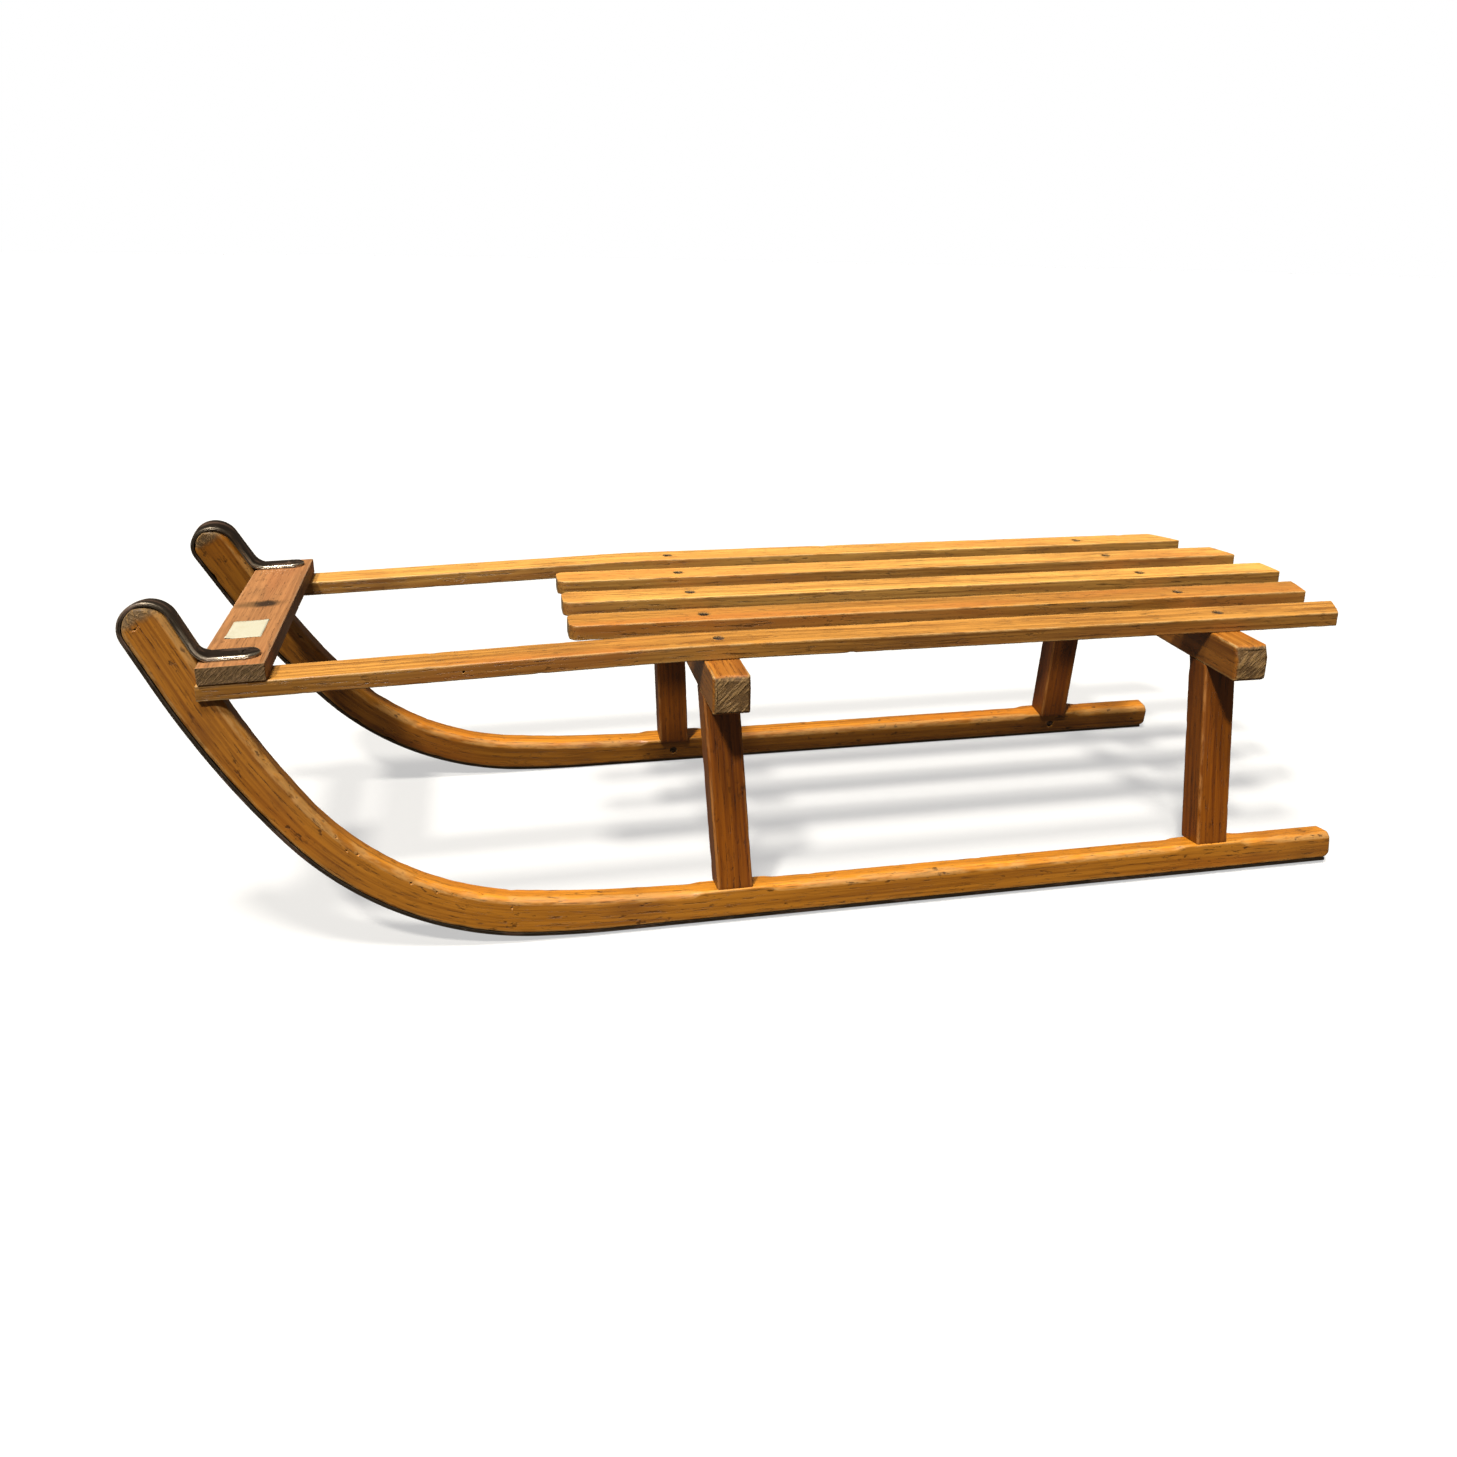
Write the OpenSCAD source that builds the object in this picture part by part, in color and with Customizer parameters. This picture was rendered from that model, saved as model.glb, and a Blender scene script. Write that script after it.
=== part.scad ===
// Slatted wooden sled: two bent runners shod with steel strip, four splayed legs,
// two crossbars, five seat slats and a front board between the upturned horns.
// +X points forward (to the horns), +Y to the sled's left, +Z up. The origin lies on
// the ground under the middle of the sled. Lengths are in millimetres.

/* [Seat] */
// Height of the seat surface above the ground
seat_h = 253; // [225:1:290]
// Width of one slat
slat_w = 36; // [28:1:42]
// Thickness of one slat
slat_t = 14; // [11:1:18]
// Distance from the middle of the sled to the middle of an outer slat
outer_slat_y = 139.5; // [132:0.5:146]
// Distance from the middle of the sled to the middle of an inner slat
inner_slat_y = 71; // [66:0.5:76]
// Radius of the curve that the rear ends of the slats follow
tail_r = 290; // [240:5:600]
// Overhang of the middle slat behind the rear crossbar's middle
tail_overhang = 155; // [120:1:180]
// Overhang of the three inner slats in front of the front crossbar's middle
nose_overhang = 124; // [90:1:150]
// Downward slope of the outer slats towards the horns, in degrees
slat_dip = 1.72; // [0.8:0.01:2.4]

/* [Crossbars] */
// Distance from the middle between the crossbars to each crossbar
bar_x = 240; // [225:1:255]
// Length of a crossbar
bar_len = 400; // [380:1:430]
// Width of a crossbar along the sled
bar_w = 32; // [30:1:38]
// Height of a crossbar
bar_h = 33; // [28:1:38]
// Chamfer around the ends of a crossbar
bar_chamfer = 3; // [1:0.5:5]

/* [Runners] */
// Distance from the middle of the sled to the lower outer edge of a runner
track_half = 184; // [176:0.5:192]
// Outward splay of the runners and legs, in degrees
splay = 8; // [6:0.25:10]
// Thickness of a runner
runner_t = 25; // [22:0.5:28]
// Depth of a runner's wood along the straight sole
sole_depth = 25.5; // [23:0.5:30]
// Depth of a runner's wood at the horn
horn_depth = 36; // [32:0.5:40]
// Overhang of a runner behind the rear crossbar's middle
heel = 129; // [100:1:150]
// Place where the sole starts to rise, ahead of the middle between the crossbars
rise_x = 333; // [315:1:345]
// Length of the straight end of the horn, below its round tip
horn_straight = 42; // [30:1:55]

/* [Legs] */
// Width of a leg along the sled
leg_w = 32; // [26:1:36]
// Thickness of a leg across the sled
leg_t = 28; // [24:1:30]
// Distance that a leg's outer face sits inside the runner's outer face
leg_inset = 1; // [0:0.5:2]
// Forward lean of the front legs, in degrees
front_rake = 3.5; // [0:0.5:5]

/* [Front board] */
// Length of the board across the sled
board_len = 317; // [310:1:330]
// Width of the board along the sled
board_w = 52; // [40:1:60]
// Thickness of the board
board_t = 15; // [11:1:18]

/* [Steel] */
// Width of the steel strip
strip_w = 22; // [16:1:24]
// Thickness of the steel strip
strip_t = 4; // [3:0.5:5]
// Length of the strip's tongue on the board
tongue_len = 46; // [38:1:48]

/* [Hidden] */
$fn = 48;
far = 2000;            // larger than anything in the sled
fit = 0.1;             // clearance around tenons and screws
spare = 40;            // extra length of a shape that another one then trims

wood = "burlywood";
steel = [0.24, 0.21, 0.18];

// Runner outline. It lies in the runner's own plane: u forward along the sole, v up.
// Each bend is [radius of the lower face, angle where it ends]; the horn is straight
// above the last bend, and its tip is half a circle.
bends = [[996.5, 4], [286.5, 50], [756.5, 62]];
bend_depth = 31;       // depth of the wood in the tight bend
bend_steps = [4, 24, 8];
swell_x = 262;         // the wood starts to deepen here, ahead of the front leg
swell_share = 0.45;    // share of the deepening that is done where the sole starts to rise

function bend_start(i) = i == 0 ? 0 : bends[i - 1][1];
function bend_point(i, a) = bend_from(i) + bends[i][0]
    * [sin(a) - sin(bend_start(i)), cos(bend_start(i)) - cos(a)];
function bend_from(i) = i == 0 ? [rise_x, 0] : bend_point(i - 1, bends[i - 1][1]);
function up_normal(a) = [-sin(a), cos(a)];
function along(a) = [cos(a), sin(a)];

horn_angle = bends[2][1];
horn_foot = bend_point(2, horn_angle);
tip_front = horn_foot + horn_straight * along(horn_angle);
tip_mid = tip_front + horn_depth / 2 * up_normal(horn_angle);
tip_back = tip_front + horn_depth * up_normal(horn_angle);

function depth_at(i, a) =
    i == 0 ? sole_depth + (bend_depth - sole_depth)
        * (swell_share + (1 - swell_share) * a / bends[0][1])
  : i == 1 ? bend_depth
  : bend_depth + (horn_depth - bend_depth) * (a - bends[1][1]) / (horn_angle - bends[1][1]);

lower_bends = [for (i = [0:2]) for (k = [1:bend_steps[i]])
    bend_point(i, bend_start(i) + k * (bends[i][1] - bend_start(i)) / bend_steps[i])];
upper_bends = [for (i = [2:-1:0]) for (k = [bend_steps[i]:-1:1])
    let (a = bend_start(i) + k * (bends[i][1] - bend_start(i)) / bend_steps[i])
    bend_point(i, a) + depth_at(i, a) * up_normal(a)];

// The half circle of the tip, from the horn's front to its back.
tip_steps = 14;
function tip_arc(r) = [for (k = [0:tip_steps])
    tip_mid - r * up_normal(horn_angle + 180 * k / tip_steps)];

heel_x = -bar_x - heel;
heel_round = 6;
lift = strip_t * cos(splay) + (runner_t + strip_w) / 2 * sin(splay);
front_x = tip_mid[0] + horn_depth / 2 + strip_t;
tail_x = -bar_x - tail_overhang;
mid_x = (front_x + tail_x) / 2;

bar_top = seat_h - slat_t;
bar_bottom = bar_top - bar_h;
nose_x = bar_x + nose_overhang;

// Outer slats: they bend gently down ahead of the front crossbar into the horns.
dip_r = 2400;          // radius of the gentle bend
dip_x = bar_x + 4;     // where it starts
function slat_top(x) = x < dip_x ? seat_h
    : x < dip_x + dip_r * sin(slat_dip) ? seat_h - dip_r + sqrt(dip_r * dip_r - pow(x - dip_x, 2))
    : seat_h - dip_r * (1 - cos(slat_dip)) - (x - dip_x - dip_r * sin(slat_dip)) * tan(slat_dip);
slat_tip_x = horn_foot[0] - 30;
slat_nose_r = 9;       // rounded corners at the front ends of the inner slats

// The slats are cut by hand: each rear end reaches a little past the curve, or short of it.
slat_ys = [outer_slat_y, inner_slat_y, 0, -inner_slat_y, -outer_slat_y];
slat_reach = [7.5, -8.5, 0, -1.5, -6];

// Front board: on top of the outer slats, its front edge let into the horns' backs.
function horn_back_u(v) = tip_back[0] - (tip_back[1] - v) / tan(horn_angle);
board_top = slat_top(slat_tip_x) + board_t;
board_front_x = horn_back_u((board_top - lift) / cos(splay));
board_z = slat_top(board_front_x);
tongue_y = track_half - (board_top - lift) * tan(splay) - runner_t / 2 / cos(splay);
bolt_back = 37;        // from the board's front edge to the bolts
tongue_front = 5;      // from the board's front edge to where the tongue meets the bend
label = [29, 46.5, 0.3];
label_at = [-39, 44];  // its corner, from the middle of the board's front edge

// Tenons
foot_tenon = [20, 12, 16];
head_tenon = [20, 12, 12];
leg_mid_w = -leg_inset - leg_t / 2;

// Screws: [head diameter, head height, shank diameter, length]
bolt_reach = 6;        // length of a tongue bolt below the outer slat
seat_screw = [9, 3.2, 4.5, 32];
leg_screw = [8, 2.8, 4, 19];
strip_screw = [7, 2.4, 3.6, 16];
screw_point = 4;       // length of the tapered point
screw_sink = 0.6;      // the seat screws' heads lie this deep in the slats
leg_screw_v = 14;      // below the runner's upper face
tongue_bolt = [10, 3, 5, strip_t + board_t + slat_t + bolt_reach];
nut = [9, 4];          // across corners, height
screw_slot_w = 1.1;
sole_screw_u = [-330, -120, 110, 300];
horn_screw_gap = 26;

// ---- placing ---------------------------------------------------------------------

module placed() {
    translate([-mid_x, 0, 0]) children();
}

// Side frame: u along X, v up the splayed plane, w outwards along Y from the outer face.
module side(s) {
    placed() mirror([0, s > 0 ? 0 : 1, 0])
        translate([0, track_half, lift]) rotate([splay, 0, 0]) children();
}

// Extrudes an outline drawn in (u, v), from w_out inwards by the given thickness.
module slab(thick, w_out = 0) {
    translate([0, w_out, 0]) rotate([90, 0, 0]) linear_extrude(thick) children();
}

module above_plane(z) {
    translate([-far, -far, z]) cube([2 * far, 2 * far, far]);
}

// ---- fasteners -------------------------------------------------------------------

// Countersunk screw pointing down from the origin, which is in the face of its head.
module screw(size, gap = 0) {
    rotate([180, 0, 0]) rotate_extrude() polygon([
        [0, 0], [size[0] / 2 + gap, 0], [size[2] / 2 + gap, size[1]],
        [size[2] / 2 + gap, size[3] - screw_point + gap],
        [gap, size[3] + gap], [0, size[3] + gap]]);
}

module slotted_screw(size) {
    difference() {
        screw(size);
        translate([-size[0], -screw_slot_w / 2, -1]) cube([2 * size[0], screw_slot_w, 2]);
    }
}

module seat_screw_row(x, gap = -1) {
    for (y = slat_ys) translate([x, y, seat_h - screw_sink])
        if (gap < 0) rotate([0, 0, 25 * sign(y) + 30]) slotted_screw(seat_screw);
        else { screw(seat_screw, gap); cylinder(d = seat_screw[0] + 2 * gap, h = 2); }
}

// A leg screw enters the runner's inner face and passes into the foot tenon.
module at_leg_screw(leg_u) {
    translate([leg_u, -runner_t, sole_depth - leg_screw_v]) rotate([90, 0, 0]) children();
}

module at_sole_screws() {
    for (u = sole_screw_u) translate([u, -runner_t / 2, -strip_t]) rotate([180, 0, 0]) children();
    translate([tip_front[0], -runner_t / 2, tip_front[1]])
        rotate([0, 90 - horn_angle, 0]) translate([strip_t, 0, -horn_screw_gap])
        rotate([0, 90, 0]) children();
}

// ---- woodwork --------------------------------------------------------------------

module runner_outline() {
    polygon(concat(
        [[heel_x + heel_round, 0]],
        [[rise_x, 0]],
        lower_bends,
        tip_arc(horn_depth / 2),
        upper_bends,
        [[swell_x, sole_depth], [heel_x, sole_depth], [heel_x, heel_round]]));
}

// Chamfers on a runner's upper edges, stopped short of the legs.
module stopped_chamfers() {
    pad = leg_w / 2 + 22;
    c = 4;
    spans = [[heel_x - c, -bar_x - pad], [-bar_x + pad, foot_u(1) - pad]];
    for (span = spans) for (w = [0, -runner_t])
        translate([span[0], w, sole_depth]) rotate([45, 0, 0])
            translate([0, -c / sqrt(2), -c / sqrt(2)])
            cube([span[1] - span[0], c * sqrt(2), c * sqrt(2)]);
}

module runner(s) {
    color(wood) difference() {
        side(s) difference() {
            slab(runner_t) runner_outline();
            stopped_chamfers();
            at_sole_screws() screw(strip_screw, fit);
            for (leg_u = [foot_u(1), foot_u(-1)]) at_leg_screw(leg_u) screw(leg_screw, fit);
        }
        for (end = [1, -1]) foot_tenon_at(s, end, fit);
        // Housings for the front end of the outer slat and for the front board
        placed() outer_slat_body(s, spare);
        placed() board_body(spare, fit);
    }
}

// Middle of a leg's foot along the runner, for the front (1) and rear (-1) legs.
leg_rise = (bar_bottom - lift) / cos(splay) - sole_depth;
function foot_u(end) = end > 0 ? bar_x - leg_rise * tan(front_rake) : -bar_x;

// Leg axis frame: origin at the middle of the foot, Z up along the leg.
module leg_frame(s, end) {
    side(s) translate([foot_u(end), leg_mid_w, sole_depth])
        rotate([0, end > 0 ? front_rake : 0, 0]) children();
}

module centred_bar(size, z) {
    translate([-size[0] / 2, -size[1] / 2, z]) cube(size);
}

module foot_tenon_at(s, end, gap = 0) {
    size = [foot_tenon[0] + 2 * gap, foot_tenon[1] + 2 * gap, foot_tenon[2] + 1];
    leg_frame(s, end) centred_bar(size, -foot_tenon[2]);
}

module head_tenon_at(s, end, gap = 0) {
    size = [head_tenon[0] + 2 * gap, head_tenon[1] + 2 * gap, head_tenon[2] + 4];
    leg_frame(s, end) centred_bar(size, leg_rise - 4);
}

module leg(s, end) {
    color(wood) difference() {
        union() {
            difference() {
                leg_frame(s, end) centred_bar([leg_w, leg_t, leg_rise + 2 * spare], -spare);
                placed() above_plane(bar_bottom);
                side(s) translate([-far, -far, sole_depth - far]) cube([2 * far, 2 * far, far]);
            }
            foot_tenon_at(s, end);
            head_tenon_at(s, end);
        }
        side(s) at_leg_screw(foot_u(end)) screw(leg_screw, fit);
    }
}

module leg_screws(s) {
    color(steel) side(s) for (end = [1, -1]) at_leg_screw(foot_u(end)) slotted_screw(leg_screw);
}

module crossbar_blank() {
    half = bar_len / 2;
    c = bar_chamfer;
    intersection() {
        rotate([0, 90, 0]) translate([0, 0, -bar_w / 2]) linear_extrude(bar_w)
            polygon([[-bar_h, -half + c], [-bar_h + c, -half], [-c, -half], [0, -half + c],
                     [0, half - c], [-c, half], [-bar_h + c, half], [-bar_h, half - c]]);
        linear_extrude(bar_h)
            polygon([[-bar_w / 2, -half + c], [-bar_w / 2 + c, -half], [bar_w / 2 - c, -half],
                     [bar_w / 2, -half + c], [bar_w / 2, half - c], [bar_w / 2 - c, half],
                     [-bar_w / 2 + c, half], [-bar_w / 2, half - c]]);
    }
}

module crossbar(end) {
    color(wood) difference() {
        placed() translate([end * bar_x, 0, bar_bottom]) crossbar_blank();
        for (s = [1, -1]) head_tenon_at(s, end, fit);
        placed() seat_screw_row(end * bar_x, fit);
    }
}

// Everything behind the curve that the slats' rear ends follow, moved to fit slat number i.
module tail_cut(i) {
    translate([-slat_reach[i], 0, 0]) difference() {
        translate([tail_x - spare, -far, 0]) cube([spare + tail_r, 2 * far, seat_h + spare]);
        translate([tail_x + tail_r, 0, -1]) cylinder(r = tail_r, h = seat_h + 2 * spare, $fn = 96);
    }
}

module inner_slat(i) {
    y = slat_ys[i];
    nose_r = slat_nose_r;
    color(wood) placed() difference() {
        translate([0, y, seat_h - slat_t]) linear_extrude(slat_t) {
            translate([tail_x, -slat_w / 2]) square([nose_x - tail_x - nose_r, slat_w]);
            translate([nose_x - nose_r - 1, -slat_w / 2 + nose_r])
                square([nose_r + 1, slat_w - 2 * nose_r]);
            for (e = [1, -1]) intersection() {
                translate([nose_x - nose_r, e * (slat_w / 2 - nose_r)]) circle(nose_r);
                translate([nose_x - nose_r - 1, -slat_w / 2]) square([nose_r + 1, slat_w]);
            }
        }
        tail_cut(i);
        for (x = [bar_x, -bar_x]) seat_screw_row(x, fit);
    }
}

dip_steps = 8;
function slat_side() = concat(
    [[tail_x, seat_h - slat_t], [tail_x, seat_h]],
    [for (k = [0:dip_steps]) let (x = dip_x + k * dip_r * sin(slat_dip) / dip_steps)
        [x, slat_top(x)]],
    [[slat_tip_x, slat_top(slat_tip_x)], [slat_tip_x, slat_top(slat_tip_x) - slat_t]],
    [for (k = [dip_steps:-1:0]) let (x = dip_x + k * dip_r * sin(slat_dip) / dip_steps)
        [x, slat_top(x) - slat_t]]);

module outer_slat_body(s, extra_w = 0) {
    translate([0, s * outer_slat_y + (slat_w + extra_w) / 2, 0]) rotate([90, 0, 0])
        linear_extrude(slat_w + extra_w) polygon(slat_side());
}

module outer_slat(s) {
    color(wood) placed() difference() {
        outer_slat_body(s);
        tail_cut(s > 0 ? 0 : 4);
        for (x = [bar_x, -bar_x]) seat_screw_row(x, fit);
        at_tongue_bolt(s) screw(tongue_bolt, fit);
    }
}

module on_board() {
    translate([board_front_x, 0, board_z]) rotate([0, slat_dip, 0]) children();
}

module board_body(extra_len = 0, gap = 0) {
    long = board_len + extra_len;
    on_board() translate([-board_w, -long / 2, 0]) cube([board_w + gap, long, board_t]);
}

module front_board() {
    color([0.72, 0.5, 0.3]) placed() difference() {
        board_body();
        for (s = [1, -1]) at_tongue_bolt(s) screw(tongue_bolt, fit);
    }
}

// ---- steel -----------------------------------------------------------------------

bend_r = 13;           // radius of the strip's lower face where it leaves the horn
bend_turn = horn_angle - 2;
bend_top = [for (k = [0:6]) bend_turn * k / 6];

// The strip's bend from the horn's back to the board, from its start on the horn.
tongue_corner = [horn_back_u(strip_seat_v()), strip_seat_v()];
function strip_seat_v() =
    (board_top - lift + (runner_t + strip_w) / 2 * sin(splay)) / cos(splay) + 0.2;
turn_start = tongue_corner + bend_r * tan(horn_angle / 2) * along(horn_angle);
turn_mid = turn_start + bend_r * up_normal(horn_angle);
function turn_arc(r) = [for (a = bend_top) turn_mid - r * up_normal(horn_angle - a)];

// One face of the strip, off away from the wood: sole, bends, tip, horn's back, turn.
function strip_path(off) = concat(
    [[heel_x + 4, -off], [rise_x, -off]],
    [for (i = [0:2]) for (k = [1:bend_steps[i]])
        let (a = bend_start(i) + k * (bends[i][1] - bend_start(i)) / bend_steps[i])
        bend_point(i, a) - off * up_normal(a)],
    tip_arc(horn_depth / 2 + off),
    turn_arc(bend_r - off));

function reversed(list) = [for (i = [len(list) - 1:-1:0]) list[i]];

module steel_strip(s) {
    color(steel) {
        side(s) difference() {
            slab(strip_w, -(runner_t - strip_w) / 2)
                polygon(concat(strip_path(0), reversed(strip_path(strip_t))));
            at_sole_screws() screw(strip_screw, fit);
        }
        placed() difference() {
            on_board() translate([0, s * tongue_y, board_t]) linear_extrude(strip_t) {
                translate([strip_w / 2 - tongue_len, 0]) circle(d = strip_w);
                translate([strip_w / 2 - tongue_len, -strip_w / 2])
                    square([tongue_len - strip_w / 2 - tongue_front, strip_w]);
            }
            at_tongue_bolt(s) screw(tongue_bolt, fit);
        }
    }
}

module strip_screws(s) {
    color(steel) side(s) at_sole_screws() slotted_screw(strip_screw);
}

module at_tongue_bolt(s) {
    on_board() translate([-bolt_back, s * tongue_y, board_t + strip_t]) children();
}

module tongue_bolts() {
    color(steel) placed() for (s = [1, -1]) at_tongue_bolt(s) slotted_screw(tongue_bolt);
}

module tongue_nuts() {
    color(steel) placed() for (s = [1, -1]) at_tongue_bolt(s)
        translate([0, 0, -strip_t - board_t - slat_t - nut[1]]) difference() {
            cylinder(d = nut[0], h = nut[1], $fn = 6);
            translate([0, 0, -1]) cylinder(d = tongue_bolt[2] + 2 * fit, h = nut[1] + 2);
        }
}

// A blank paper label on the board, with nothing written on it.
module paper_label() {
    color("ivory") placed() on_board() translate([label_at[0], label_at[1], board_t]) cube(label);
}

runner(1);  // runner_left
runner(-1);  // runner_right
steel_strip(1);  // steel_strip_left
steel_strip(-1);  // steel_strip_right
leg(1, 1);  // leg_front_left
leg(-1, 1);  // leg_front_right
leg(1, -1);  // leg_rear_left
leg(-1, -1);  // leg_rear_right
crossbar(1);  // crossbar_front
crossbar(-1);  // crossbar_rear
outer_slat(1);  // slat_outer_left
inner_slat(1);  // slat_inner_left
inner_slat(2);  // slat_centre
inner_slat(3);  // slat_inner_right
outer_slat(-1);  // slat_outer_right
front_board();
color(steel) placed() seat_screw_row(bar_x);  // seat_screws_front
color(steel) placed() seat_screw_row(-bar_x);  // seat_screws_rear
leg_screws(1);  // leg_screws_left
leg_screws(-1);  // leg_screws_right
strip_screws(1);  // strip_screws_left
strip_screws(-1);  // strip_screws_right
tongue_bolts();
tongue_nuts();
paper_label();
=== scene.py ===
"""Looks for a slatted wooden sled: worn varnished wood, dark steel strip and slotted screws.

Wood and strips are closed skins of rings along their length. Three attributes go with each mesh:
grain (place in the material, x along the fibres), edge (distance to the nearest long edge) and
end (1 on end grain, and on steel 1 where it is rubbed bright and given a painted highlight). The
materials read them, so the grain follows the bent runners. Lengths are in metres.
"""
import math

import bmesh
import bpy
import numpy as np
from mathutils import Matrix, Vector, noise


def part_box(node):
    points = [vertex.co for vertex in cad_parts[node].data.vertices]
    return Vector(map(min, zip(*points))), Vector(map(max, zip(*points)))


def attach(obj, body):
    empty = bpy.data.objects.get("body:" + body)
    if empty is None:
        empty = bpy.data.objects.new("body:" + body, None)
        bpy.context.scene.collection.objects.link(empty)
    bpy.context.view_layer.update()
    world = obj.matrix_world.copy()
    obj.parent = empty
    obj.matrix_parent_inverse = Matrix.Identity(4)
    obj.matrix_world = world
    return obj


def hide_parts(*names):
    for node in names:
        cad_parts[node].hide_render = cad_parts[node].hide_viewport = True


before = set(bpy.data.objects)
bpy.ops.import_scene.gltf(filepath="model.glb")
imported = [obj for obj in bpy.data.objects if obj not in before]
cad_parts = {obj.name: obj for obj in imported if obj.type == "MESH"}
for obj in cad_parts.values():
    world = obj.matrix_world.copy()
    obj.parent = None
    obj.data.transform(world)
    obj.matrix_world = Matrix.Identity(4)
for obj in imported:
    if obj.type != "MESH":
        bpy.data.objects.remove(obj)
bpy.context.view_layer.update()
mm = 0.001

# ---- sizes: read from the frame where it tells them, else the design's own ----


def middle(node):
    low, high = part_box(node)
    return (low + high) / 2


def size(node):
    low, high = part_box(node)
    return high - low


BAR_FRONT = middle("crossbar_front")
BAR_REAR = middle("crossbar_rear")
MID_X = (BAR_FRONT.x + BAR_REAR.x) / 2
BAR_LEN, BAR_W, BAR_H = size("crossbar_front").y, size("crossbar_front").x, size("crossbar_front").z
BAR_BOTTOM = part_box("crossbar_front")[0].z
SEAT_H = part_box("slat_centre")[1].z
SLAT_T, SLAT_W = size("slat_centre").z, size("slat_centre").y
NOSE_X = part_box("slat_centre")[1].x
SLAT_TIP_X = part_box("slat_outer_left")[1].x
SLAT_YS = {n: middle(n).y for n in ("slat_outer_left", "slat_inner_left", "slat_centre",
                                    "slat_inner_right", "slat_outer_right")}
HEEL_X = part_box("runner_left")[0].x
TAIL_R = 290 * mm
SLAT_NOSE_R = 9 * mm
DIP = math.radians(1.72)        # slope of the outer slats ahead of the front crossbar
DIP_R = 2400 * mm               # radius of the bend into that slope
DIP_X = BAR_FRONT.x + 4 * mm    # where the bend starts

SPLAY = math.radians(8)         # lean of runners and legs
TRACK_HALF = 184 * mm
RUNNER_T = 25 * mm
SOLE_DEPTH, BEND_DEPTH, HORN_DEPTH = 25.5 * mm, 31 * mm, 36 * mm
RISE_X = MID_X + 333 * mm       # where the sole starts to rise
SWELL_X = MID_X + 262 * mm      # where the wood starts to thicken
SWELL_SHARE = 0.45              # share of the thickening that is reached at RISE_X
BENDS = ((996.5 * mm, 4), (286.5 * mm, 50), (756.5 * mm, 62))   # lower face radius, end angle
HORN = math.radians(BENDS[-1][1])
HORN_STRAIGHT = 42 * mm
LEG_W, LEG_T, LEG_INSET = 32 * mm, 28 * mm, 1 * mm
FRONT_RAKE = math.radians(3.5)
LEG_SCREW_V = SOLE_DEPTH - 14 * mm
BOARD_LEN, BOARD_W, BOARD_T = 317 * mm, 52 * mm, 15 * mm
STRIP_W, STRIP_T, TONGUE_LEN, TURN_R = 22 * mm, 4 * mm, 46 * mm, 13 * mm
# Height of the sole's outer edge above the ground, on which the strip's inner edge stands
LIFT = STRIP_T * math.cos(SPLAY) + (RUNNER_T + STRIP_W) / 2 * math.sin(SPLAY)

CAMERA_TURN = (-12.12, 16.11, 1.03)          # yaw, pitch and roll in degrees
CAMERA_PLACE = (0.4381, 1.0934, 0.5862)      # from the ground under the sled's middle
CAMERA_LENS = 29.5
CAMERA_SHIFT = (0.0008, -0.1018)


def slat_drop(x):
    """How far the outer slats' top lies below the seat at x."""
    run = np.clip(x - DIP_X, 0, DIP_R * math.sin(DIP))
    rest = np.maximum(x - DIP_X - DIP_R * math.sin(DIP), 0)
    return DIP_R - np.sqrt(DIP_R**2 - run**2) + rest * math.tan(DIP)


def new_object(name, data):
    made = bpy.data.objects.new(name, data)
    bpy.context.scene.collection.objects.link(made)
    return made


# ---- camera ----


def make_camera():
    yaw, pitch, roll = (math.radians(a) for a in CAMERA_TURN)
    ahead = Vector((math.sin(yaw) * math.cos(pitch), -math.cos(yaw) * math.cos(pitch),
                    -math.sin(pitch)))
    level = ahead.cross(Vector((0, 0, 1))).normalized()
    upright = level.cross(ahead)
    right = math.cos(roll) * level + math.sin(roll) * upright
    above = math.cos(roll) * upright - math.sin(roll) * level
    data = bpy.data.cameras.new("camera")
    data.lens = CAMERA_LENS
    data.shift_x, data.shift_y = CAMERA_SHIFT
    camera = new_object("camera", data)
    place = Matrix((right, above, -ahead)).transposed().to_4x4()
    place.translation = Vector((MID_X, 0, 0)) + Vector(CAMERA_PLACE)
    camera.matrix_world = place
    bpy.context.scene.camera = camera


make_camera()

# ---- skins ----

ARC = 4                                           # steps round a corner
SPREAD = np.array([0.05, 0.14, 0.32, 0.5, 0.68, 0.86, 0.95])   # points across a face
CORNERS = ((1, -1), (1, 1), (-1, 1), (-1, -1))    # outer low, outer top, inner top, inner low


def rings(half_w, low, top, radius, flat=0.0):
    """Rounded rectangles, one per station. radius has four columns, in the order of CORNERS.
    flat turns the round corners towards chamfers. Returns places, outward normals and the
    distance from the nearest edge, all (stations, points)."""
    found = []

    def add(a, b, turn, gap):
        row = (a, b, math.cos(turn), math.sin(turn), gap)
        found.append([value + np.zeros(len(radius)) for value in row])

    def corner(k):
        (sa, sb), r = CORNERS[k % 4], radius[:, k % 4]
        return sa * (half_w - r), (top - r if sb > 0 else low + r), r

    for k in range(4):
        ca, cb, r = corner(k)
        first, last = math.radians(90 * (k - 1)), math.radians(90 * k)
        for share in np.linspace(0, 1, ARC + 1):
            turn = first + share * (last - first)
            x, y = ((1 - flat) * f(turn) + flat * ((1 - share) * f(first) + share * f(last))
                    for f in (math.cos, math.sin))
            add(ca + r * x, cb + r * y, turn, 0)
        a1, b1 = ca + r * x, cb + r * y
        ca, cb, r = corner(k + 1)
        a2, b2 = ca + r * math.cos(last), cb + r * math.sin(last)
        length = np.hypot(a2 - a1, b2 - b1)
        for share in SPREAD:
            add(a1 + share * (a2 - a1), b1 + share * (b2 - b1), last,
                length * min(share, 1 - share))
    return [np.array(x).T for x in zip(*found)]


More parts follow.
